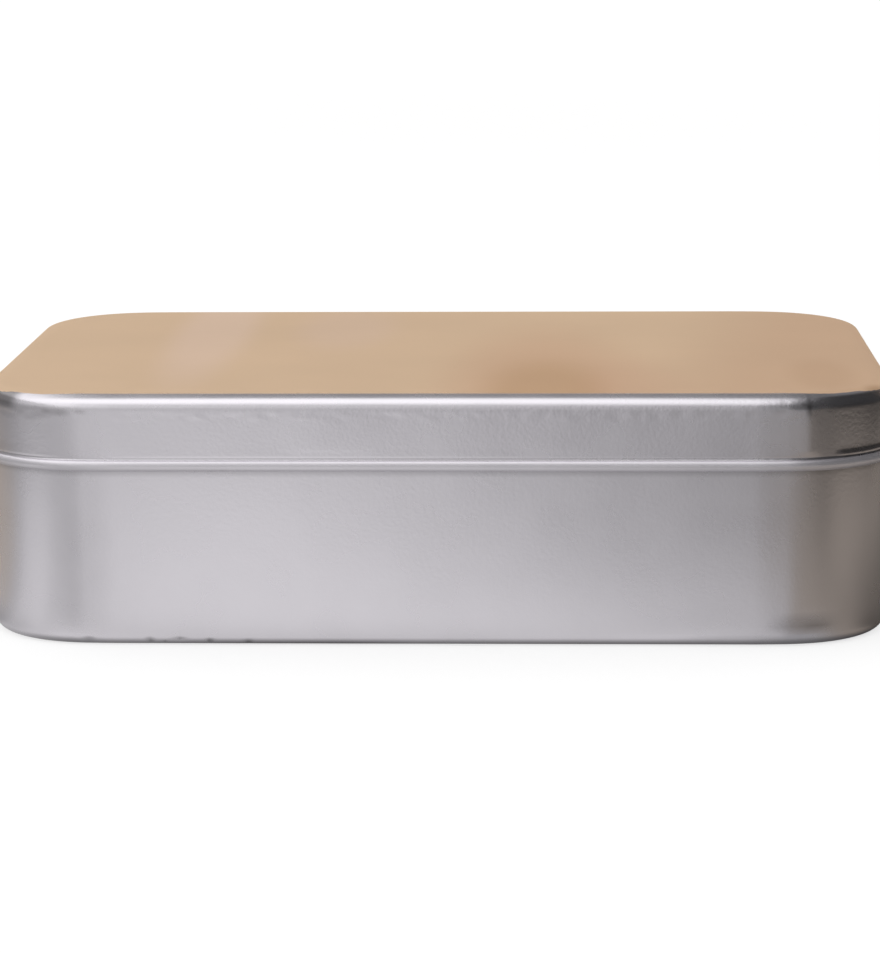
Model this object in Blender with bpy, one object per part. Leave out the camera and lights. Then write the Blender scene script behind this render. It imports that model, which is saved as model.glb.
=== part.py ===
"""A shut soap tin of satin tinplate: a solid box and the pressed slip lid that sits over it.

The tin stands on the XY plane with +Z up. X runs along its long side, and its front faces -Y. The origin is the
centre of the bottom face. Every level of both pieces is the same rounded rectangle, set in from the outer face of
the lid's skirt by some inset, so each piece is one profile of (inset, height) points swept round that rectangle.
"""

import math

import bmesh
import bpy

MM = 0.001

# Driving dimensions of the whole tin, over the lid's skirt
LID_LENGTH = 98.0 * MM
LID_WIDTH = 63.7 * MM
TIN_HEIGHT = 26.9 * MM
LID_CORNER_RADIUS = 12.1 * MM
SHEET = 0.25 * MM
LID_CLEARANCE = 0.3 * MM

# The lid's pressed top edge: a tight turn out of the skirt, and a soft shoulder that runs on into the flat top
RIM_RADIUS = 1.35 * MM
SHOULDER_RADIUS = 4.7 * MM
SHOULDER_START = math.radians(70.0)

# The rolled bead that ends the lid's skirt
BEAD_BOTTOM = 19.0 * MM
BEAD_HEIGHT = 1.15 * MM
BEAD_STAND_OUT = 0.7 * MM
CREASE_DEPTH = 0.1 * MM
CREASE_HEIGHT = 0.5 * MM

# The box's bottom edge, and its closed top under the lid
BASE_EDGE_RADIUS = 1.4 * MM
BASE_TOP_RADIUS = 1.0 * MM
BASE_HEIGHT = 26.2 * MM

# How finely the round stretches are divided
CORNER_STEPS = 12
RIM_STEPS = 5
SHOULDER_STEPS = 2
BEAD_STEPS = 12
EDGE_STEPS = 5

QUARTER_TURN = math.pi / 2
SMOOTH_ANGLE = math.radians(35.0)


def rounded_rectangle(inset):
    """The points of the tin's outline, anticlockwise from +X, set in from the lid's skirt by inset."""
    radius = LID_CORNER_RADIUS - inset
    centre_x = LID_LENGTH / 2 - LID_CORNER_RADIUS
    centre_y = LID_WIDTH / 2 - LID_CORNER_RADIUS
    corner_centres = [
        (centre_x, centre_y),
        (-centre_x, centre_y),
        (-centre_x, -centre_y),
        (centre_x, -centre_y),
    ]
    points = []
    for corner, (x, y) in enumerate(corner_centres):
        for step in range(CORNER_STEPS + 1):
            angle = QUARTER_TURN * (corner + step / CORNER_STEPS)
            points.append((x + radius * math.cos(angle), y + radius * math.sin(angle)))
    return points


def arc(centre_inset, centre_height, outward, upward, start, end, steps):
    """(inset, height) points along an ellipse; angle 0 points out of the tin and a quarter turn points up."""
    points = []
    for step in range(steps + 1):
        angle = start + (end - start) * step / steps
        inset = centre_inset - outward * math.cos(angle)
        height = centre_height + upward * math.sin(angle)
        points.append((inset, height))
    return points


def base_profile():
    """The box's outside, from its bottom face up its wall to the closed top under the lid."""
    wall_inset = SHEET + LID_CLEARANCE
    bottom_edge = arc(
        wall_inset + BASE_EDGE_RADIUS, BASE_EDGE_RADIUS,
        BASE_EDGE_RADIUS, BASE_EDGE_RADIUS, -QUARTER_TURN, 0.0, EDGE_STEPS,
    )
    top_edge = arc(
        wall_inset + BASE_TOP_RADIUS, BASE_HEIGHT - BASE_TOP_RADIUS,
        BASE_TOP_RADIUS, BASE_TOP_RADIUS, 0.0, QUARTER_TURN, EDGE_STEPS,
    )
    return bottom_edge + top_edge


def lid_edge(inner):
    """The lid's rounded top edge from the flat top down to the skirt, moved into the sheet by inner."""
    beyond = SHOULDER_RADIUS - RIM_RADIUS
    shoulder_inset = RIM_RADIUS + beyond * math.cos(SHOULDER_START)
    shoulder_level = TIN_HEIGHT - SHOULDER_RADIUS
    rim_level = shoulder_level + beyond * math.sin(SHOULDER_START)
    wide = SHOULDER_RADIUS - inner
    tight = RIM_RADIUS - inner
    shoulder = arc(shoulder_inset, shoulder_level, wide, wide, QUARTER_TURN, SHOULDER_START, SHOULDER_STEPS)
    rim = arc(RIM_RADIUS, rim_level, tight, tight, SHOULDER_START, 0.0, RIM_STEPS)
    return shoulder[:-1] + rim


def lid_profile():
    """The lid's sheet, from its top face round the rim, down the skirt, round the bead and back up inside."""

    # The rolled edge is an oval that reaches from the skirt's inner face to its stand-out
    bead_outward = (BEAD_STAND_OUT + SHEET) / 2
    bead_upward = BEAD_HEIGHT / 2
    bead_centre = SHEET - bead_outward
    bead_level = BEAD_BOTTOM + bead_upward
    crease_angle = math.acos((bead_centre - CREASE_DEPTH) / bead_outward)
    bead = arc(bead_centre, bead_level, bead_outward, bead_upward, crease_angle, -math.pi, BEAD_STEPS)
    skirt_foot = (0.0, BEAD_BOTTOM + BEAD_HEIGHT + CREASE_HEIGHT / 2)

    return lid_edge(0.0) + [skirt_foot] + bead + lid_edge(SHEET)[::-1]


def sweep(name, profile, materials, top_material=0):
    """One closed solid: a ring of points for each profile point, joined in order and capped at both ends."""
    mesh = bpy.data.meshes.new(name)
    for material in materials:
        mesh.materials.append(material)
    shape = bmesh.new()
    rings = []
    for inset, height in profile:
        outline = rounded_rectangle(inset)
        rings.append([shape.verts.new((x, y, height)) for x, y in outline])
    for upper, lower in zip(rings, rings[1:]):
        for this in range(len(upper)):
            following = (this + 1) % len(upper)
            shape.faces.new((upper[this], upper[following], lower[following], lower[this]))
    first_cap = shape.faces.new(rings[0])
    shape.faces.new(rings[-1])
    first_cap.material_index = top_material
    bmesh.ops.recalc_face_normals(shape, faces=shape.faces)
    shape.to_mesh(mesh)
    shape.free()
    mesh.shade_smooth()
    mesh.set_sharp_from_angle(angle=SMOOTH_ANGLE)
    solid = bpy.data.objects.new(name, mesh)
    bpy.context.scene.collection.objects.link(solid)
    return solid


def finish(name, colour, metallic, roughness):
    """A plain material for one finish of the tin."""
    material = bpy.data.materials.new(name)
    material.use_nodes = True
    shader = material.node_tree.nodes["Principled BSDF"]
    shader.inputs["Base Color"].default_value = (*colour, 1.0)
    shader.inputs["Metallic"].default_value = metallic
    shader.inputs["Roughness"].default_value = roughness
    return material


def build_tin():
    """The box and the lid, both hung on one empty at the tin's origin."""
    for old in list(bpy.data.objects):
        bpy.data.objects.remove(old, do_unlink=True)

    box_tinplate = finish("box_tinplate", (0.58, 0.57, 0.59), 1.0, 0.34)
    lid_tinplate = finish("lid_tinplate", (0.60, 0.59, 0.61), 1.0, 0.30)
    tan_coat = finish("tan_coat", (0.60, 0.44, 0.30), 0.0, 0.45)

    tin = bpy.data.objects.new("soap_tin", None)
    bpy.context.scene.collection.objects.link(tin)
    base = sweep("base", base_profile(), [box_tinplate])
    lid = sweep("lid", lid_profile(), [lid_tinplate, tan_coat], top_material=1)
    base.parent = tin
    lid.parent = tin


build_tin()
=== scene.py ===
"""The looks of a shut soap tin of satin tinplate: its box, its lid and the studio round them."""

import math

import bmesh
import bpy
import numpy as np
from mathutils import Matrix, Vector, noise


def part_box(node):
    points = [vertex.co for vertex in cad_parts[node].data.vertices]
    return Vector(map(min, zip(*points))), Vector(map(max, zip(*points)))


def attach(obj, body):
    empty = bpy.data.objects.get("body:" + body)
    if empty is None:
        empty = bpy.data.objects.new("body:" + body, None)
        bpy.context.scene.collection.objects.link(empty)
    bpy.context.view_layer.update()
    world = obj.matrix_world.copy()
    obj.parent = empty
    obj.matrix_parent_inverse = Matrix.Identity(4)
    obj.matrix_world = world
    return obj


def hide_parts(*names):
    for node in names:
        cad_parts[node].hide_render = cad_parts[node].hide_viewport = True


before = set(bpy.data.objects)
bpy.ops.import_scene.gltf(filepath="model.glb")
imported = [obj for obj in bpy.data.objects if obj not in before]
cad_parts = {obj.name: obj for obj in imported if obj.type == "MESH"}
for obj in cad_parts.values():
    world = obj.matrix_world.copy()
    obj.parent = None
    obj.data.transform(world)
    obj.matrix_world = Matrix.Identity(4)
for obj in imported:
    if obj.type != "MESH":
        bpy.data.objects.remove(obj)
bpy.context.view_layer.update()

MM = 0.001


# The camera: a long lens in front of the tin and a little above it. It stands slightly to the right of the
# middle and is turned back to the left.
camera_data = bpy.data.cameras.new("camera")
camera_data.sensor_width = 36.0
camera_data.lens = 118.64
camera_data.clip_start = 10 * MM
camera_data.clip_end = 20.0
camera = bpy.data.objects.new("camera", camera_data)
camera_place = Vector((13.433, -353.124, 82.216)) * MM
camera_pitch = math.radians(-11.219)
camera_turn = math.radians(2.255)
camera_roll = math.radians(-0.421)
camera.matrix_world = (
    Matrix.Translation(camera_place)
    @ Matrix.Rotation(camera_turn, 4, "Z")
    @ Matrix.Rotation(math.pi / 2 + camera_pitch, 4, "X")
    @ Matrix.Rotation(camera_roll, 4, "Z")
)
bpy.context.scene.collection.objects.link(camera)
bpy.context.scene.camera = camera


# The box: a deep pan drawn from one sheet of tinplate, with round corners and a rounded bottom edge. Its
# wall runs straight up inside the lid. One profile is swept round the tin, and the front gets its knocks.
box_low, box_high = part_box("base")
box_size = box_high - box_low
box_corner = 11.55 * MM
box_bottom_radius = 1.4 * MM
box_top_radius = 1.0 * MM
box_columns = 960
box_row = 0.8 * MM
panel_margin = 0.6 * MM


def add(tree, kind, **settings):
    """A new node of a tree, with its settings."""
    made = tree.nodes.new(kind)
    for name, value in settings.items():
        setattr(made, name, value)
    return made


def sweep_tree():
    """Sweeps a profile curve, drawn with X outwards and Y downwards, round a rounded rectangle."""
    tree = bpy.data.node_groups.new("sweep_round_tin", "GeometryNodeTree")
    tree.is_modifier = True
    sizes = {
        "Length": "NodeSocketFloat",
        "Width": "NodeSocketFloat",
        "Corner radius": "NodeSocketFloat",
        "Columns": "NodeSocketInt",
        "Profile": "NodeSocketObject",
        "Metal": "NodeSocketMaterial",
    }
    for name, kind in sizes.items():
        tree.interface.new_socket(name=name, in_out="INPUT", socket_type=kind)
    tree.interface.new_socket(name="Tin", in_out="OUTPUT", socket_type="NodeSocketGeometry")

    given = add(tree, "NodeGroupInput")
    outline = add(tree, "GeometryNodeCurvePrimitiveQuadrilateral", mode="RECTANGLE")
    fillet = add(tree, "GeometryNodeFilletCurve", mode="POLY")
    fillet.inputs["Count"].default_value = 240
    even = add(tree, "GeometryNodeResampleCurve", mode="COUNT")
    level = add(tree, "GeometryNodeSetCurveNormal", mode="Z_UP")
    profile = add(tree, "GeometryNodeObjectInfo")
    sweep = add(tree, "GeometryNodeCurveToMesh")
    smooth = add(tree, "GeometryNodeSetShadeSmooth")
    real = add(tree, "GeometryNodeRealizeInstances")
    coat = add(tree, "GeometryNodeSetMaterial")
    result = add(tree, "NodeGroupOutput")
    join = tree.links.new
    join(given.outputs["Length"], outline.inputs["Width"])
    join(given.outputs["Width"], outline.inputs["Height"])
    join(outline.outputs["Curve"], fillet.inputs["Curve"])
    join(given.outputs["Corner radius"], fillet.inputs["Radius"])
    join(fillet.outputs["Curve"], even.inputs["Curve"])
    join(given.outputs["Columns"], even.inputs["Count"])
    join(even.outputs["Curve"], level.inputs["Curve"])
    join(level.outputs["Curve"], sweep.inputs["Curve"])
    join(given.outputs["Profile"], profile.inputs["Object"])
    join(profile.outputs["Geometry"], sweep.inputs["Profile Curve"])
    join(sweep.outputs["Mesh"], smooth.inputs["Geometry"])
    join(smooth.outputs["Geometry"], real.inputs["Geometry"])
    join(real.outputs["Geometry"], coat.inputs["Geometry"])
    join(given.outputs["Metal"], coat.inputs["Material"])
    join(coat.outputs["Geometry"], result.inputs["Tin"])
    return tree


tin_sweep = sweep_tree()


def arc(inset, height, outward, upward, start, end, steps):
    """(inset, height) points along an ellipse, where angle 0 points out of the tin and a quarter turn up."""
    turns = [start + (end - start) * step / steps for step in range(steps + 1)]
    return [(inset - outward * math.cos(turn), height + upward * math.sin(turn)) for turn in turns]


def run(start, end, row):
    """Evenly spaced (inset, height) points between two others, about one row apart, without the two."""
    steps = max(1, round(math.dist(start, end) / row))
    shares = [step / steps for step in range(1, steps)]
    return [tuple(a + (b - a) * share for a, b in zip(start, end)) for share in shares]


def sweep_piece(name, profile, length, width, corner, columns, metal):
    """A plain mesh object: the profile's (inset, height) points swept round a rounded rectangle."""
    line = bpy.data.curves.new(name + "_profile", "CURVE")
    spline = line.splines.new("POLY")
    spline.points.add(len(profile) - 1)
    for point, (inset, height) in zip(spline.points, profile):
        point.co = (-inset, -height, 0.0, 1.0)
    guide = bpy.data.objects.new(name + "_profile", line)
    bpy.context.scene.collection.objects.link(guide)

    piece = bpy.data.objects.new(name, bpy.data.meshes.new(name))
    bpy.context.scene.collection.objects.link(piece)
    swept = piece.modifiers.new("sweep", "NODES")
    swept.node_group = tin_sweep
    values = {
        "Length": length,
        "Width": width,
        "Corner radius": corner,
        "Columns": columns,
        "Profile": guide,
        "Metal": metal,
    }
    for socket in tin_sweep.interface.items_tree:
        if socket.name in values:
            swept[socket.identifier] = values[socket.name]
    graph = bpy.context.evaluated_depsgraph_get()
    mesh = bpy.data.meshes.new_from_object(piece.evaluated_get(graph), depsgraph=graph)
    piece.modifiers.remove(swept)
    piece.data = mesh
    bpy.data.objects.remove(guide)
    return piece


def close_panels(piece, margin):
    """Closes the flat top and bottom of a swept piece, each with a narrow ring inside its edge."""
    shape = bmesh.new()
    shape.from_mesh(piece.data)
    rims = [edge for edge in shape.edges if edge.is_boundary]
    panels = bmesh.ops.holes_fill(shape, edges=rims, sides=0)["faces"]
    bmesh.ops.inset_region(shape, faces=panels, thickness=margin, use_even_offset=True)
    bmesh.ops.recalc_face_normals(shape, faces=shape.faces)
    shape.to_mesh(piece.data)
    shape.free()
    piece.data.shade_smooth()


def smooth_step(low, high, value):
    """0 below low, 1 above high, and a smooth rise between them."""
    share = np.clip((value - low) / (high - low), 0.0, 1.0)
    return share * share * (3 - 2 * share)


def hump(middle, reach, value):
    """1 at the middle, falling smoothly to 0 at the reach on either side."""
    return 1.0 - smooth_step(0.0, reach, abs(value - middle))


def outward_of(x, y, length, width, corner):
    """The level direction straight out of a rounded rectangle's wall at each point."""
    side_x = np.clip(x, corner - length / 2, length / 2 - corner)
    side_y = np.clip(y, corner - width / 2, width / 2 - corner)
    out = np.stack([x - side_x, y - side_y], axis=1)
    return out / np.maximum(np.linalg.norm(out, axis=1, keepdims=True), 1e-9)


bow_start = -3.4 * MM
bow_deepest = 2.6 * MM
bow_end = 16 * MM


def bow(x, y, length, width, corner):
    """How far each point of a long wall springs in where it runs into its corners, from 0 to 1."""
    past_x = abs(x) - (length / 2 - corner)
    past_y = abs(y) - (width / 2 - corner)
    turned = np.clip(np.arctan2(np.maximum(past_x, 0.0), past_y), 0.0, math.pi / 2)
    past = np.minimum(past_x, 0.0) + corner * turned
    return smooth_step(bow_start, bow_deepest, past) * (1.0 - smooth_step(bow_deepest, bow_end, past))


def push_out(piece, out, amount):
    """Moves each point of a piece along its level outward direction."""
    places = np.empty(len(piece.data.vertices) * 3, np.float32)
    piece.data.vertices.foreach_get("co", places)
    places = places.reshape(-1, 3)
    places[:, :2] += out * amount[:, None]
    piece.data.vertices.foreach_set("co", places.ravel())
    piece.data.update()


def points_of(piece):
    """The x, y and z of a piece's points."""
    places = np.empty(len(piece.data.vertices) * 3, np.float32)
    piece.data.vertices.foreach_get("co", places)
    return places.reshape(-1, 3).astype(float).T


def wander(x, y, z, wave, seed):
    """Smooth noise between about -1 and 1, with features about one wave long."""
    shift = Vector((seed * 7.31, seed * 3.17, seed * 5.71))
    return np.array([noise.noise(Vector(place) / wave + shift) for place in zip(x, y, z)])


def spots(x, z, places, front):
    """How strongly each point is marked, by (x, z, half length, half height, strength) marks, in mm."""
    total = np.zeros_like(x)
    for mark_x, mark_z, half_length, half_height, strength in places:
        across = (x / MM - mark_x) / half_length
        upward = (z / MM - mark_z) / half_height
        inside = np.clip(1.0 - across * across - upward * upward, 0.0, 1.0)
        total += np.where(front, strength * inside * inside, 0.0)
    return total


def store(piece, name, values):
    """Keeps one value for each point of a piece, for its material to read."""
    layer = piece.data.attributes.new(name, "FLOAT", "POINT")
    layer.data.foreach_set("value", values.astype(np.float32))


def fill_ramp(ramp, stops):
    """Gives a colour ramp its (position, colour) stops, lowest first."""
    points = ramp.color_ramp.elements
    while len(points) < len(stops):
        points.new(0.5)
    for point, (position, colour) in zip(points, stops):
        point.position = position
        point.color = (*colour, 1.0)


cloud_scale = 170.0
cloud_contrast = 0.025
gloss_spread = 0.04
grain_scale = 2600.0
grain_depth = 0.010 * MM
shade_top = 30.0
stain_and_shade_colour = (0.10, 0.09, 0.085)


def satin_tinplate(name, colour, roughness, shade_stops):
    """Bare satin tinplate: fine rolled grain, faint clouds of tone and gloss, painted shade by height, and
    stains.

    The shade is given by (height in mm, share of the light that is left) stops, lowest first. A value
    stored at each point darkens it for stains and for painted shade alike.
    """
    material = bpy.data.materials.new(name)
    material.use_nodes = True
    tree = material.node_tree
    join = tree.links.new
    shader = tree.nodes["Principled BSDF"]
    shader.inputs["Metallic"].default_value = 1.0
    place = add(tree, "ShaderNodeTexCoord")

    clouds = add(tree, "ShaderNodeTexNoise")
    clouds.inputs["Scale"].default_value = cloud_scale
    clouds.inputs["Detail"].default_value = 3.0
    tones = add(tree, "ShaderNodeValToRGB")
    tones.color_ramp.interpolation = "EASE"
    dim = [part * (1 - cloud_contrast) for part in colour]
    bright = [part * (1 + cloud_contrast) for part in colour]
    fill_ramp(tones, [(0.2, dim), (0.8, bright)])
    join(place.outputs["Object"], clouds.inputs["Vector"])
    join(clouds.outputs["Fac"], tones.inputs["Fac"])

    parts = add(tree, "ShaderNodeSeparateXYZ")
    join(place.outputs["Object"], parts.inputs["Vector"])
    height = add(tree, "ShaderNodeMapRange")
    height.inputs["From Max"].default_value = shade_top * MM
    join(parts.outputs["Z"], height.inputs["Value"])
    shade = add(tree, "ShaderNodeValToRGB")
    fill_ramp(shade, [(level / shade_top, (share, share, share)) for level, share in shade_stops])
    join(height.outputs["Result"], shade.inputs["Fac"])
    shaded = add(tree, "ShaderNodeMix", data_type="RGBA", blend_type="MULTIPLY")
    shaded.inputs["Factor"].default_value = 1.0
    join(tones.outputs["Color"], shaded.inputs["A"])
    join(shade.outputs["Color"], shaded.inputs["B"])
    # Stains, and painted shade in creases and round the lid's corners, mixed towards one dark colour
    stains = add(tree, "ShaderNodeAttribute", attribute_name="stain_and_shade")
    dirt_and_shade = add(tree, "ShaderNodeMix", data_type="RGBA")
    dirt_and_shade.inputs["B"].default_value = (*stain_and_shade_colour, 1.0)
    join(stains.outputs["Fac"], dirt_and_shade.inputs["Factor"])
    join(shaded.outputs["Result"], dirt_and_shade.inputs["A"])
    join(dirt_and_shade.outputs["Result"], shader.inputs["Base Color"])

    gloss = add(tree, "ShaderNodeMapRange")
    gloss.inputs["To Min"].default_value = roughness - gloss_spread
    gloss.inputs["To Max"].default_value = roughness + gloss_spread
    join(clouds.outputs["Fac"], gloss.inputs["Value"])
    join(gloss.outputs["Result"], shader.inputs["Roughness"])

    grain = add(tree, "ShaderNodeTexNoise")
    grain.inputs["Scale"].default_value = grain_scale
    grain.inputs["Detail"].default_value = 2.0
    relief = add(tree, "ShaderNodeBump")
    relief.inputs["Distance"].default_value = grain_depth
    join(place.outputs["Object"], grain.inputs["Vector"])
    join(grain.outputs["Fac"], relief.inputs["Height"])
    join(relief.outputs["Normal"], shader.inputs["Normal"])
    return material


tinplate_colour = (0.75, 0.722, 0.765)
# Painted shade by height: the box's wall darker just under the lid's bead
box_shade = [(0.0, 1.0), (18.2, 1.0), (18.9, 0.72), (19.3, 0.6)]
box_tinplate = satin_tinplate("box_tinplate", tinplate_colour, 0.28, box_shade)

box_foot = (0.0, box_bottom_radius)
box_shoulder = (0.0, box_high.z - box_top_radius)
box_profile = arc(
    box_bottom_radius, box_bottom_radius,
    box_bottom_radius, box_bottom_radius, -math.pi / 2, 0.0, 16,
)
box_profile += run(box_foot, box_shoulder, box_row)
box_profile += arc(
    box_top_radius, box_high.z - box_top_radius,
    box_top_radius, box_top_radius, 0.0, math.pi / 2, 5,
)
box = sweep_piece("box", box_profile, box_size.x, box_size.y, box_corner, box_columns, box_tinplate)

# Knocks and stains on the box's front: (x, z, half length, half height, depth or strength) of each, with its
# lengths in mm
box_dents = [
    (39.6, 2.5, 3.6, 1.2, 0.05),
    (-36.7, 0.6, 0.9, 0.6, 0.12),
    (-30.2, 0.6, 0.6, 0.6, 0.16),
    (-27.0, 0.7, 1.2, 0.5, 0.12),
    (-23.8, 0.5, 0.6, 0.5, 0.14),
    (-19.7, 0.4, 0.7, 0.5, 0.10),
]
box_stains = [
    (39.2, 2.5, 4.9, 1.4, 0.32),
    (40.4, 2.3, 2.4, 0.8, 0.18),
    (36.4, 2.2, 2.4, 1.1, 0.10),
    (-30.0, 0.5, 0.35, 0.3, 0.4),
    (-28.6, 0.45, 0.35, 0.25, 0.3),
    (-26.9, 0.8, 0.3, 0.3, 0.3),
    (-23.8, 0.5, 0.4, 0.3, 0.4),
    (-19.7, 0.35, 0.5, 0.25, 0.45),
]
box_wave = 26 * MM
box_wave_depth = 0.03 * MM
box_wave_start = 5 * MM
wall_bow = 0.21 * MM

x, y, z = points_of(box)
out = outward_of(x, y, box_size.x, box_size.y, box_corner)
above_edge = smooth_step(box_bottom_radius, box_wave_start, z)
relief = wander(x, y, z, box_wave, seed=1) * box_wave_depth * above_edge
relief -= spots(x, z, box_dents, y < 0) * MM
relief -= bow(x, y, box_size.x, box_size.y, box_corner) * wall_bow
push_out(box, out, relief)
store(box, "stain_and_shade", spots(x, z, box_stains, y < 0))
close_panels(box, panel_margin)
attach(box, "root")
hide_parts("base")


# The lid: a shallow cap pressed from one sheet of tinplate, with a rounded top edge and a rolled bead round
# the foot of its skirt. Its flat top is tan, given as a satin coat that is also a painted reflection of a
# warm backdrop behind the tin. The draw has left a crinkled band under the rim.
lid_low, lid_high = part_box("lid")
bead_stand_out = 0.7 * MM
bead_height = 1.15 * MM
sheet = 0.25 * MM
rim_radius = 1.35 * MM
shoulder_radius = 4.7 * MM
shoulder_start = math.radians(70)
groove_depth = 0.1 * MM
groove_height = 0.5 * MM
lid_length = lid_high.x - lid_low.x - 2 * bead_stand_out
lid_width = lid_high.y - lid_low.y - 2 * bead_stand_out
lid_corner = 12.1 * MM
lid_columns = 900
lid_row = 0.22 * MM
rim_steps = 14
shoulder_steps = 26
bead_steps = 24

rim_to_shoulder = shoulder_radius - rim_radius
shoulder_inset = rim_radius + rim_to_shoulder * math.cos(shoulder_start)
shoulder_level = lid_high.z - shoulder_radius
rim_level = shoulder_level + rim_to_shoulder * math.sin(shoulder_start)
bead_bottom = lid_low.z
bead_outward = (bead_stand_out + sheet) / 2
bead_upward = bead_height / 2
bead_centre = sheet - bead_outward
bead_level = bead_bottom + bead_upward
groove_angle = math.acos((bead_centre - groove_depth) / bead_outward)
skirt_top = (0.0, rim_level)
skirt_foot = (0.0, bead_bottom + bead_height + groove_height / 2)


# Patches of painted reflection on the coat: (middle, half size, tint) of each, in mm. Two are pale and the
# others darker, and the last is painted shade at the far right corner.
reflection_patches = [
    ((-27.4, 14.0), (6.5, 52.0), (1.05, 1.075, 1.21)),
    ((-12.0, 16.0), (8.0, 22.0), (1.01, 1.02, 1.10)),
    ((11.5, -26.0), (14.5, 54.0), (0.92, 0.85, 0.83)),
    ((11.7, -28.0), (8.5, 27.0), (0.88, 0.84, 0.76)),
    ((21.0, -28.0), (8.0, 28.0), (0.98, 0.95, 0.95)),
    ((41.5, -18.0), (5.0, 14.0), (0.93, 0.91, 0.89)),
    ((47.8, -27.2), (3.4, 4.2), (0.66, 0.60, 0.52)),
]


# The tan on the lit left, and its painted shade, browner, towards the right
lit_tan = (0.602, 0.428, 0.281)
shaded_brown = (0.540, 0.361, 0.234)
shade_to_right = (21 * MM, 40 * MM)
shade_to_right_slant = -0.2
patch_core = 0.35


def smooth_rise(tree, value, start, end):
    """The output of a node that goes smoothly from 0 to 1 as a value goes from the start to the end."""
    made = add(tree, "ShaderNodeMapRange", interpolation_type="SMOOTHSTEP")
    made.inputs["From Min"].default_value = start
    made.inputs["From Max"].default_value = end
    tree.links.new(value, made.inputs["Value"])
    return made.outputs["Result"]


def tan_coat():
    """The lid top's tan satin coat, which is also a painted reflection of a warm backdrop behind the tin.

    It is cloudy, browner to the right as painted shade, and has pale and darker patches of painted
    reflection.
    """
    material = bpy.data.materials.new("tan_coat")
    material.use_nodes = True
    tree = material.node_tree
    join = tree.links.new
    shader = tree.nodes["Principled BSDF"]
    shader.inputs["Roughness"].default_value = 0.5
    shader.inputs["Specular IOR Level"].default_value = 0.25
    place = add(tree, "ShaderNodeTexCoord")
    parts = add(tree, "ShaderNodeSeparateXYZ")
    join(place.outputs["Object"], parts.inputs["Vector"])

    # Painted shade: the tan browns towards the right, away from the light on the left, along a slight slant
    slant = add(tree, "ShaderNodeMath", operation="MULTIPLY_ADD")
    slant.inputs[1].default_value = shade_to_right_slant
    join(parts.outputs["Y"], slant.inputs[0])
    join(parts.outputs["X"], slant.inputs[2])
    coat = add(tree, "ShaderNodeMix", data_type="RGBA")
    coat.inputs["A"].default_value = (*lit_tan, 1.0)
    coat.inputs["B"].default_value = (*shaded_brown, 1.0)
    join(smooth_rise(tree, slant.outputs["Value"], *shade_to_right), coat.inputs["Factor"])

    clouds = add(tree, "ShaderNodeTexNoise")
    clouds.inputs["Scale"].default_value = 42.0
    clouds.inputs["Detail"].default_value = 3.0
    cloud_tones = add(tree, "ShaderNodeMapRange")
    cloud_tones.inputs["From Min"].default_value = 0.3
    cloud_tones.inputs["From Max"].default_value = 0.7
    cloud_tones.inputs["To Min"].default_value = 0.97
    cloud_tones.inputs["To Max"].default_value = 1.03
    join(place.outputs["Object"], clouds.inputs["Vector"])
    join(clouds.outputs["Fac"], cloud_tones.inputs["Value"])

    tone = add(tree, "ShaderNodeVectorMath", operation="SCALE")
    join(coat.outputs["Result"], tone.inputs["Vector"])
    join(cloud_tones.outputs["Result"], tone.inputs["Scale"])
    worn = tone.outputs["Vector"]
    for middle, half_size, tint in reflection_patches:
        moved = add(tree, "ShaderNodeVectorMath", operation="SUBTRACT")
        moved.inputs[1].default_value = (middle[0] * MM, middle[1] * MM, lid_high.z)
        sized = add(tree, "ShaderNodeVectorMath", operation="DIVIDE")
        sized.inputs[1].default_value = (half_size[0] * MM, half_size[1] * MM, 1.0)
        reach = add(tree, "ShaderNodeVectorMath", operation="LENGTH")
        patch = add(tree, "ShaderNodeMix", data_type="RGBA", blend_type="MULTIPLY")
        patch.inputs["B"].default_value = (*tint, 1.0)
        join(place.outputs["Object"], moved.inputs[0])
        join(moved.outputs["Vector"], sized.inputs[0])
        join(sized.outputs["Vector"], reach.inputs[0])
        join(smooth_rise(tree, reach.outputs["Value"], 1.0, patch_core), patch.inputs["Factor"])
        join(worn, patch.inputs["A"])
        worn = patch.outputs["Result"]
    join(worn, shader.inputs["Base Color"])
    return material


# Painted shade by height: the bead's underside and lower half darker
lid_shade = [(0.0, 0.62), (19.2, 0.66), (19.45, 0.8), (19.7, 0.95), (20.0, 1.0)]
lid_tinplate = satin_tinplate("lid_tinplate", tinplate_colour, 0.27, lid_shade)
bead_tinplate = satin_tinplate("bead_tinplate", tinplate_colour, 0.38, lid_shade)
bead_shader = bead_tinplate.node_tree.nodes["Principled BSDF"]
bead_shader.inputs["Metallic"].default_value = 0.87
lid_coat_and_reflection = tan_coat()

lid_profile = arc(
    shoulder_inset, shoulder_level,
    shoulder_radius, shoulder_radius, math.pi / 2, shoulder_start, shoulder_steps,
)[:-1]
lid_profile += arc(rim_radius, rim_level, rim_radius, rim_radius, shoulder_start, 0.0, rim_steps)
lid_profile += run(skirt_top, skirt_foot, lid_row) + [skirt_foot]
lid_profile += arc(bead_centre, bead_level, bead_outward, bead_upward, groove_angle, -math.pi, bead_steps)
lid_profile += arc(
    rim_radius, rim_level, rim_radius - sheet, rim_radius - sheet, 0.0, shoulder_start, 4,
)
lid_profile += arc(
    shoulder_inset, shoulder_level,
    shoulder_radius - sheet, shoulder_radius - sheet, shoulder_start, math.pi / 2, 2,
)[1:]
lid = sweep_piece("lid_cap", lid_profile, lid_length, lid_width, lid_corner, lid_columns, lid_tinplate)
close_panels(lid, panel_margin)
lid.data.materials.append(lid_coat_and_reflection)
lid.data.materials.append(bead_tinplate)
centres = np.empty(len(lid.data.polygons) * 3, np.float32)
lid.data.polygons.foreach_get("center", centres)
x, y, z = centres.reshape(-1, 3).astype(float).T
out = outward_of(x, y, lid_length, lid_width, lid_corner)
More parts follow.
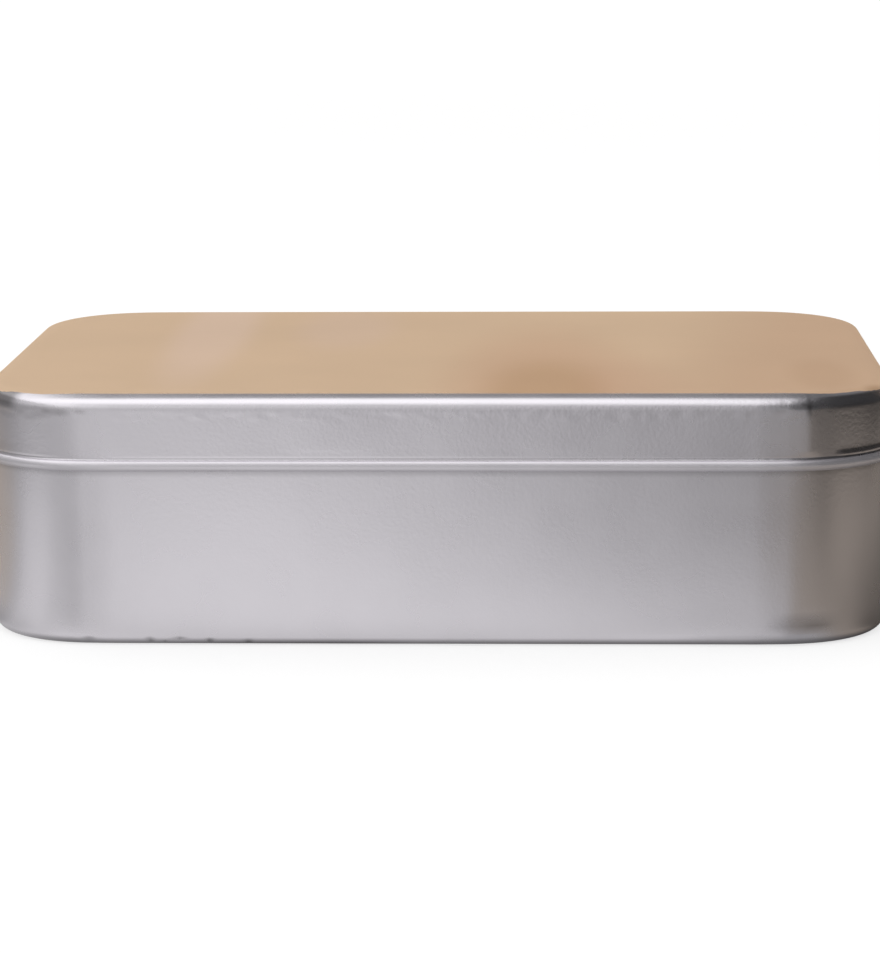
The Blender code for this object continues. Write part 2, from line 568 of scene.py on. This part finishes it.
facing = np.degrees(np.arctan2(abs(out[:, 0]), -out[:, 1]))

# The tan, coat and painted reflection at once, stops high on the front edge and lower at the corners, and it
# wraps over the sides and the back, where the reflection of the warm backdrop reaches the edge
tan_facing = [0, 4, 25, 45, 75, 180]
tan_slope = np.radians(np.interp(facing, tan_facing, [85, 84, 76, 74, 45, 45]))
on_shoulder = shoulder_level + shoulder_radius * np.sin(tan_slope)
on_rim = rim_level + rim_radius * np.sin(tan_slope)
tan_edge = np.where(tan_slope > shoulder_start, on_shoulder, on_rim)
finishes = np.where(z > tan_edge, 1, np.where(z < bead_bottom + bead_height, 2, 0))
lid.data.polygons.foreach_set("material_index", finishes.astype(np.int32))

# Marks on the lid's front, given as on the box: darker patches under the rim on the left, and on the right
# painted shade at the dark end of the upright crease, with scuffs beside it
corner_start = lid_length / 2 - lid_corner
lid_stains_and_shade = [
    (-40.6, 25.3, 0.9, 0.4, 0.24),
    (-39.1, 25.2, 1.7, 0.6, 0.30),
    (-36.9, 25.3, 1.0, 0.35, 0.24),
    # Painted shade at the end of the upright crease, where the rim's highlight stops
    (39.15, 25.6, 0.5, 1.7, 0.65),
    (36.4, 26.1, 0.32, 0.7, 0.5),
    (37.6, 26.2, 0.3, 0.25, 0.3),
    (38.5, 26.0, 0.35, 0.2, 0.3),
    (38.0, 25.5, 1.2, 0.3, 0.2),
    (36.0, 25.3, 1.6, 0.3, 0.15),
]


# The lid's relief and its painted shade: bands and stretches as (middle, reach), and groove_face and
# far_left_rim_shade as (start, end)
crinkle_band = (24.9 * MM, 1.0 * MM)
crinkle_wave = 1.3 * MM
crinkle_squash = 1.8
crinkle_depth = 0.024 * MM
skirt_wave = 9 * MM
skirt_wave_depth = 0.025 * MM
crease_x = 39.2 * MM
crease_reach = 1.5 * MM
crease_stand_out = 0.07 * MM
scuffed_stretch = (37.8 * MM, 2.2 * MM)
scuff_band = (25.9 * MM, 0.7 * MM)
scuff_wave = 0.9 * MM
scuff_depth = 0.05 * MM
fold_band = (20.5 * MM, 0.4 * MM)
fold_depth = 0.09 * MM
fold_shade_band = (20.9 * MM, 0.7 * MM)
groove_band = (20.05 * MM, 0.38 * MM)
groove_face = (-0.12 * MM, 0.03 * MM)
filled_stretch = (42.3 * MM, 6.0 * MM)
groove_fill = 0.11 * MM
groove_places = [-46, -40, -28, -12, 0, 30, 37, 39, 49]
groove_shade = [0.6, 0.2, 0.08, 0.2, 0.5, 0.5, 0.3, 0.0, 0.2]
left_high_band = (24.8 * MM, 0.9 * MM)
left_low_band = (21.0 * MM, 0.9 * MM)
far_left_rim_shade = (24.8 * MM, 25.8 * MM)


def band(start, full, fading, end, value):
    """0 up to the start, 1 from full to fading and 0 again from the end, with smooth slopes between."""
    return smooth_step(start, full, value) * (1 - smooth_step(fading, end, value))


def turn_round(side, x, y):
    """How far each point is round the front corner of one side, in degrees, from 0 at the front."""
    past_start = np.maximum(side * x - corner_start, 0.0)
    return np.degrees(np.arctan2(past_start, -y - lid_width / 2 + lid_corner))


x, y, z = points_of(lid)
out = outward_of(x, y, lid_length, lid_width, lid_corner)
front = y < 0
right_turn = turn_round(1, x, y)
left_turn = turn_round(-1, x, y)
round_right = band(24, 30, 70, 95, right_turn)
round_left = band(8, 30, 70, 95, left_turn)
far_left = band(33, 43, 75, 95, left_turn)

# The draw's crinkles under the rim, weaker round the right corner, and the soft waves of the skirt
crinkles = hump(*crinkle_band, z) * (1 - smooth_step(0.0, 24.0, right_turn) * front * 0.75)
relief = wander(x, y, z * crinkle_squash, crinkle_wave, seed=2) * crinkles * crinkle_depth
skirt_band = band(20.7 * MM, 21.4 * MM, 24.6 * MM, 25.4 * MM, z)
relief += wander(x, y, z, skirt_wave, seed=3) * skirt_band * skirt_wave_depth

# The sharp upright crease where the right corner starts, and the crinkled rim beside it
crease = np.clip(1.0 - abs((x - crease_x) / crease_reach), 0.0, 1.0)
crease_run = band(20.3 * MM, 21.0 * MM, 25.2 * MM, 26.2 * MM, z)
relief += front * crease * crease_run * crease_stand_out
scuffed = hump(*scuffed_stretch, x) * hump(*scuff_band, z)
relief += front * wander(x, y, z, scuff_wave, seed=4) * scuffed * scuff_depth

# The fold of the right corner over the bead, and the long walls sprung in at their ends
relief += front * hump(*fold_band, z) * round_right * fold_depth
relief -= bow(x, y, lid_length, lid_width, lid_corner) * wall_bow

# The groove over the bead: shallow round the right corner, and with painted shade in it, stronger in places
side_x = np.clip(x, -corner_start, corner_start)
side_y = np.clip(y, lid_corner - lid_width / 2, lid_width / 2 - lid_corner)
behind_skirt = lid_corner - np.hypot(x - side_x, y - side_y)
in_groove = hump(*groove_band, z) * smooth_step(*groove_face, behind_skirt)
relief += in_groove * hump(*filled_stretch, x) * groove_fill
push_out(lid, out, relief)

stain_and_shade = spots(x, z, lid_stains_and_shade, front)
# Painted shade in the groove over the bead, varying along x
stain_and_shade += in_groove * np.interp(x / MM, groove_places, groove_shade)
# Painted shade on the skirt round the left corner, just under the rim and just over the bead
stain_and_shade += front * round_left * (hump(*left_high_band, z) + hump(*left_low_band, z)) * 0.13
# Painted shade on the rim round the far left corner, where its highlight fades out
stain_and_shade += front * far_left * smooth_step(*far_left_rim_shade, z) * 0.7
# Painted shade on the skirt round the right corner, just over the fold
stain_and_shade += front * band(24, 32, 70, 95, right_turn) * hump(*fold_shade_band, z) * 0.35
store(lid, "stain_and_shade", np.minimum(stain_and_shade, 1.0))
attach(lid, "root")
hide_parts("lid")


# The stage: a wide pale floor. The metal does not mirror it. In its place it mirrors a card on the floor, a
# sheet in soft tones round the tin's foot, lighter on the left, which nothing but the metal sees.
def level_sheet(name, half, height):
    """A square sheet of the stage, level and round the tin."""
    corners = [(-half, -half, height), (half, -half, height), (half, half, height), (-half, half, height)]
    mesh = bpy.data.meshes.new(name)
    mesh.from_pydata(corners, [], [(0, 1, 2, 3)])
    sheet = bpy.data.objects.new(name, mesh)
    bpy.context.scene.collection.objects.link(sheet)
    return sheet


def math_node(tree, operation, first, second=None):
    """The output of a math node on one or two values, each a socket or a number."""
    made = add(tree, "ShaderNodeMath", operation=operation)
    for socket, value in zip(made.inputs, (first, second)):
        if isinstance(value, bpy.types.NodeSocket):
            tree.links.new(value, socket)
        elif value is not None:
            socket.default_value = value
    return made.outputs["Value"]


def tones_by_bearing(tree, across, forward, stops):
    """A ramp of tones round the tin: 0 degrees is straight in front of it, and positive is to its right."""
    bearing = math_node(tree, "ARCTAN2", across, math_node(tree, "MULTIPLY", forward, -1.0))
    share = math_node(tree, "MULTIPLY_ADD", bearing, 1 / math.tau)
    share.node.inputs[2].default_value = 0.5
    ramp = add(tree, "ShaderNodeValToRGB")
    ramp.color_ramp.interpolation = "EASE"
    fill_ramp(ramp, [((degrees + 180) / 360, colour) for degrees, colour in stops])
    tree.links.new(share, ramp.inputs["Fac"])
    return ramp.outputs["Color"]


def grey(value):
    return (value, value, value)


def warm(value):
    return (value * 1.13, value, value * 0.84)


floor = level_sheet("floor", 3.0, 0.0)
pale_floor = bpy.data.materials.new("pale_floor")
pale_floor.use_nodes = True
floor.data.materials.append(pale_floor)
floor_shader = pale_floor.node_tree.nodes["Principled BSDF"]
floor_shader.inputs["Base Color"].default_value = (0.36, 0.36, 0.36, 1.0)
floor_shader.inputs["Emission Color"].default_value = (1.0, 1.0, 1.0, 1.0)
floor_shader.inputs["Emission Strength"].default_value = 0.68
floor_shader.inputs["Roughness"].default_value = 0.9
floor_shader.inputs["Specular IOR Level"].default_value = 0.1
floor.visible_glossy = False

# The card's tones as (bearing in degrees, colour) stops: close to the tin, far from it, at its foot and
# under it. They paint the floor's light and shade: lighter on the left, dim on the right, and a painted
# shadow at the tin's foot and under it
near_tones = [
    (-180, warm(0.55)),
    (-120, warm(0.42)),
    (-95, warm(0.41)),
    (-75, grey(0.53)),
    (-66, grey(0.70)),
    (-50, grey(0.77)),
    (-38, grey(0.64)),
    (-25, grey(0.54)),
    (-16, grey(0.68)),
    (-7, grey(0.84)),
    (2, grey(0.81)),
    (6.5, grey(0.72)),
    (9.5, grey(0.59)),
    (15, grey(0.46)),
    (24, warm(0.295)),
    (33, warm(0.30)),
    (41, warm(0.27)),
    (60, warm(0.20)),
    (80, warm(0.12)),
    (100, warm(0.05)),
    (135, warm(0.28)),
    (180, warm(0.55)),
]
far_tones = [
    (-180, warm(0.55)),
    (-120, warm(0.42)),
    (-95, warm(0.395)),
    (-77, grey(0.53)),
    (-66, grey(0.72)),
    (-50, grey(0.74)),
    (-36, grey(0.54)),
    (-26, grey(0.46)),
    (-19, grey(0.51)),
    (-13, grey(0.69)),
    (-3, grey(0.88)),
    (0, grey(0.67)),
    (2, grey(0.44)),
    (4.5, grey(0.27)),
    (14, warm(0.24)),
    (26, warm(0.245)),
    (40, warm(0.205)),
    (60, warm(0.355)),
    (80, warm(0.335)),
    (98, warm(0.22)),
    (120, warm(0.20)),
    (140, warm(0.28)),
    (180, warm(0.55)),
]
foot_tones = [
    (-180, grey(0.50)),
    (-80, grey(0.37)),
    (-62, grey(0.55)),
    (-44, grey(0.69)),
    (-30, grey(0.74)),
    (0, grey(0.69)),
    (13, grey(0.67)),
    (17, grey(0.53)),
    (21, grey(0.38)),
    (28, grey(0.35)),
    (50, warm(0.24)),
    (70, warm(0.08)),
    (120, warm(0.08)),
    (180, grey(0.50)),
]
under_tones = [
    (-180, grey(0.30)),
    (-60, grey(0.42)),
    (-25, grey(0.22)),
    (-6, grey(0.12)),
    (0, grey(0.19)),
    (12, grey(0.17)),
    (25, grey(0.15)),
    (60, grey(0.05)),
    (120, grey(0.02)),
    (180, grey(0.30)),
]

# How far out from the box's wall each of them gives way to the next, and how far the card reaches
foot_fade = (3.0 * MM, 12.0 * MM)
under_fade = (-0.9 * MM, 0.7 * MM)
card_near = 75 * MM
card_fade = (75 * MM, 130 * MM)

# How much of a point's place along a flat wall counts towards its bearing
wall_share = 0.15


def card_look():
    """Glows in its tones, with painted shadow darkest under the tin, and fades out about a tin's length
    away.
    """
    material = bpy.data.materials.new("card")
    material.use_nodes = True
    material.cycles.emission_sampling = "NONE"
    tree = material.node_tree
    tree.nodes.clear()
    join = tree.links.new
    place = add(tree, "ShaderNodeTexCoord")
    parts = add(tree, "ShaderNodeSeparateXYZ")
    join(place.outputs["Object"], parts.inputs["Vector"])

    # The place of each point from the nearest part of the wall, with a little of its place along a flat wall
    def beyond(along, straight):
        held = add(tree, "ShaderNodeClamp")
        held.inputs["Min"].default_value = -straight
        held.inputs["Max"].default_value = straight
        join(along, held.inputs["Value"])
        outside = math_node(tree, "SUBTRACT", along, held.outputs["Result"])
        kept = math_node(tree, "MULTIPLY", held.outputs["Result"], wall_share)
        return outside, math_node(tree, "ADD", outside, kept)

    beyond_x, place_x = beyond(parts.outputs["X"], box_size.x / 2 - box_corner)
    beyond_y, place_y = beyond(parts.outputs["Y"], box_size.y / 2 - box_corner)
    square_x = math_node(tree, "MULTIPLY", beyond_x, beyond_x)
    square_y = math_node(tree, "MULTIPLY", beyond_y, beyond_y)
    reach = math_node(tree, "SQRT", math_node(tree, "ADD", square_x, square_y))
    away = math_node(tree, "SUBTRACT", reach, box_corner)

    mixed = add(tree, "ShaderNodeMix", data_type="RGBA")
    join(smooth_rise(tree, away, 0.0, card_near), mixed.inputs["Factor"])
    join(tones_by_bearing(tree, place_x, place_y, near_tones), mixed.inputs["A"])
    join(tones_by_bearing(tree, place_x, place_y, far_tones), mixed.inputs["B"])
    footed = add(tree, "ShaderNodeMix", data_type="RGBA")
    join(smooth_rise(tree, away, *foot_fade), footed.inputs["Factor"])
    join(tones_by_bearing(tree, place_x, place_y, foot_tones), footed.inputs["A"])
    join(mixed.outputs["Result"], footed.inputs["B"])
    shaded = add(tree, "ShaderNodeMix", data_type="RGBA")
    join(smooth_rise(tree, away, *under_fade), shaded.inputs["Factor"])
    join(tones_by_bearing(tree, place_x, place_y, under_tones), shaded.inputs["A"])
    join(footed.outputs["Result"], shaded.inputs["B"])
    glow = add(tree, "ShaderNodeEmission")
    join(shaded.outputs["Result"], glow.inputs["Color"])
    clear = add(tree, "ShaderNodeBsdfTransparent")
    choose = add(tree, "ShaderNodeMixShader")
    join(smooth_rise(tree, away, *card_fade), choose.inputs["Fac"])
    join(glow.outputs["Emission"], choose.inputs[1])
    join(clear.outputs["BSDF"], choose.inputs[2])
    result = add(tree, "ShaderNodeOutputMaterial")
    join(choose.outputs["Shader"], result.inputs["Surface"])
    return material


card = level_sheet("card", 0.25, 0.02 * MM)
card.data.materials.append(card_look())
card.visible_camera = False
card.visible_diffuse = False
card.visible_shadow = False
card.visible_transmission = False


# The studio: soft light from everywhere, a long softbox over the front edge, and the tones that the metal
# mirrors, light on the left, dim on the right and warm behind. These are stops as the card's are, for below
# the horizon, about level with it and high up.
below_tones = [
    (-180, (0.80, 0.58, 0.40)),
    (-150, (0.62, 0.47, 0.34)),
    (-125, warm(0.30)),
    (-98, grey(0.28)),
    (-75, grey(0.31)),
    (-50, grey(0.37)),
    (-25, grey(0.51)),
    (-8, grey(0.75)),
    (-1, grey(0.47)),
    (2, grey(0.29)),
    (4.5, grey(0.27)),
    (8, grey(0.33)),
    (16, grey(0.34)),
    (22, grey(0.27)),
    (31, warm(0.11)),
    (45, warm(0.02)),
    (110, warm(0.01)),
    (130, warm(0.08)),
    (152, (0.66, 0.48, 0.33)),
    (180, (0.80, 0.58, 0.40)),
]
level_tones = [
    (-180, (0.80, 0.58, 0.40)),
    (-140, (0.76, 0.56, 0.40)),
    (-110, grey(0.34)),
    (-60, grey(0.38)),
    (-25, grey(0.54)),
    (-4, grey(0.68)),
    (1, grey(0.57)),
    (4, grey(0.37)),
    (14, grey(0.08)),
    (60, grey(0.01)),
    (125, grey(0.02)),
    (145, (0.60, 0.44, 0.30)),
    (180, (0.80, 0.58, 0.40)),
]
high_tones = [
    (-180, grey(0.28)),
    (-140, grey(0.45)),
    (-90, grey(0.55)),
    (-60, grey(0.70)),
    (-20, grey(0.88)),
    (-3, grey(0.80)),
    (4, grey(0.50)),
    (14, grey(0.02)),
    (140, grey(0.01)),
    (180, grey(0.28)),
]


def studio():
    """Even pale light for matt surfaces and for the camera, and the room's tones for the metal."""
    world = bpy.data.worlds.new("studio")
    bpy.context.scene.world = world
    world.use_nodes = True
    tree = world.node_tree
    tree.nodes.clear()
    join = tree.links.new
    place = add(tree, "ShaderNodeTexCoord")
    parts = add(tree, "ShaderNodeSeparateXYZ")
    join(place.outputs["Generated"], parts.inputs["Vector"])

    def tones(stops):
        return tones_by_bearing(tree, parts.outputs["X"], parts.outputs["Y"], stops)

    def between(first, second, start, end):
        """From the first tone to the second as the direction's height goes from start to end degrees."""
        low_sine = math.sin(math.radians(start))
        high_sine = math.sin(math.radians(end))
        mixed = add(tree, "ShaderNodeMix", data_type="RGBA")
        join(smooth_rise(tree, parts.outputs["Z"], low_sine, high_sine), mixed.inputs["Factor"])
        join(first, mixed.inputs["A"])
        join(second, mixed.inputs["B"])
        return mixed.outputs["Result"]

    lower = between(tones(below_tones), tones(level_tones), -4, 4)
    mirrored = between(lower, tones(high_tones), 14, 26)
    room = add(tree, "ShaderNodeBackground")
    join(mirrored, room.inputs["Color"])
    pale = add(tree, "ShaderNodeBackground")
    pale.inputs["Color"].default_value = (1.06, 1.06, 1.06, 1.0)
    ray = add(tree, "ShaderNodeLightPath")
    choose = add(tree, "ShaderNodeMixShader")
    join(ray.outputs["Is Glossy Ray"], choose.inputs["Fac"])
    join(pale.outputs["Background"], choose.inputs[1])
    join(room.outputs["Background"], choose.inputs[2])
    result = add(tree, "ShaderNodeOutputWorld")
    join(choose.outputs["Shader"], result.inputs["Surface"])


studio()


softbox_low = (-0.60, -0.65)
softbox_high = (0.17, 0.90)
softbox_height = 0.5
softbox_soft_end = 0.08
softbox_slant = 3.0
slant_start = 0.02

# The softbox's brightness from front to back, as (y in metres, radiance)
softbox_stops = [
    (-0.65, 0.60),
    (-0.48, 0.74),
    (-0.36, 0.98),
    (-0.20, 1.34),
    (0.00, 1.38),
    (0.14, 1.20),
    (0.26, 0.85),
    (0.42, 0.35),
    (0.60, 0.28),
    (0.90, 0.20),
]
wing_across = (-0.12, -0.24)
wing_deep = (0.88, 0.72)
wing_radiance = 1.15


def softbox_look():
    """Glows by its stops, which slant forwards on its right side, and fades out at both ends.

    Its wing is its far left, which is evenly bright well to the back.
    """
    material = bpy.data.materials.new("softbox")
    material.use_nodes = True
    tree = material.node_tree
    tree.nodes.clear()
    join = tree.links.new
    place = add(tree, "ShaderNodeTexCoord")
    parts = add(tree, "ShaderNodeSeparateXYZ")
    join(place.outputs["Object"], parts.inputs["Vector"])

    right = math_node(tree, "MAXIMUM", math_node(tree, "ADD", parts.outputs["X"], -slant_start), 0.0)
    slanted = math_node(tree, "ADD", parts.outputs["Y"], math_node(tree, "MULTIPLY", right, softbox_slant))
    depth = add(tree, "ShaderNodeMapRange")
    depth.inputs["From Min"].default_value = softbox_low[1]
    depth.inputs["From Max"].default_value = softbox_high[1]
    join(slanted, depth.inputs["Value"])
    brightness = add(tree, "ShaderNodeValToRGB")
    brightness.color_ramp.interpolation = "EASE"
    whole = softbox_high[1] - softbox_low[1]
    shares = [((stop - softbox_low[1]) / whole, grey(radiance)) for stop, radiance in softbox_stops]
    fill_ramp(brightness, shares)
    join(depth.outputs["Result"], brightness.inputs["Fac"])

    across = smooth_rise(tree, parts.outputs["X"], *wing_across)
    deep = smooth_rise(tree, parts.outputs["Y"], *wing_deep)
    wing = math_node(tree, "MULTIPLY", math_node(tree, "MULTIPLY", across, deep), wing_radiance)
    lit = math_node(tree, "MAXIMUM", brightness.outputs["Color"], wing)
    left_end = smooth_rise(tree, parts.outputs["X"], softbox_low[0], softbox_low[0] + softbox_soft_end)
    right_end = smooth_rise(tree, parts.outputs["X"], softbox_high[0], softbox_high[0] - softbox_soft_end)
    glow = add(tree, "ShaderNodeEmission")
    join(lit, glow.inputs["Color"])
    join(math_node(tree, "MULTIPLY", left_end, right_end), glow.inputs["Strength"])
    result = add(tree, "ShaderNodeOutputMaterial")
    join(glow.outputs["Emission"], result.inputs["Surface"])
    return material


softbox_mesh = bpy.data.meshes.new("softbox")
softbox_mesh.from_pydata(
    [
        (softbox_low[0], softbox_low[1], softbox_height),
        (softbox_low[0], softbox_high[1], softbox_height),
        (softbox_high[0], softbox_high[1], softbox_height),
        (softbox_high[0], softbox_low[1], softbox_height),
    ],
    [],
    [(0, 1, 2, 3)],
)
softbox_mesh.materials.append(softbox_look())
softbox = bpy.data.objects.new("softbox", softbox_mesh)
bpy.context.scene.collection.objects.link(softbox)
softbox.visible_camera = False

bpy.context.scene.view_settings.view_transform = "Standard"
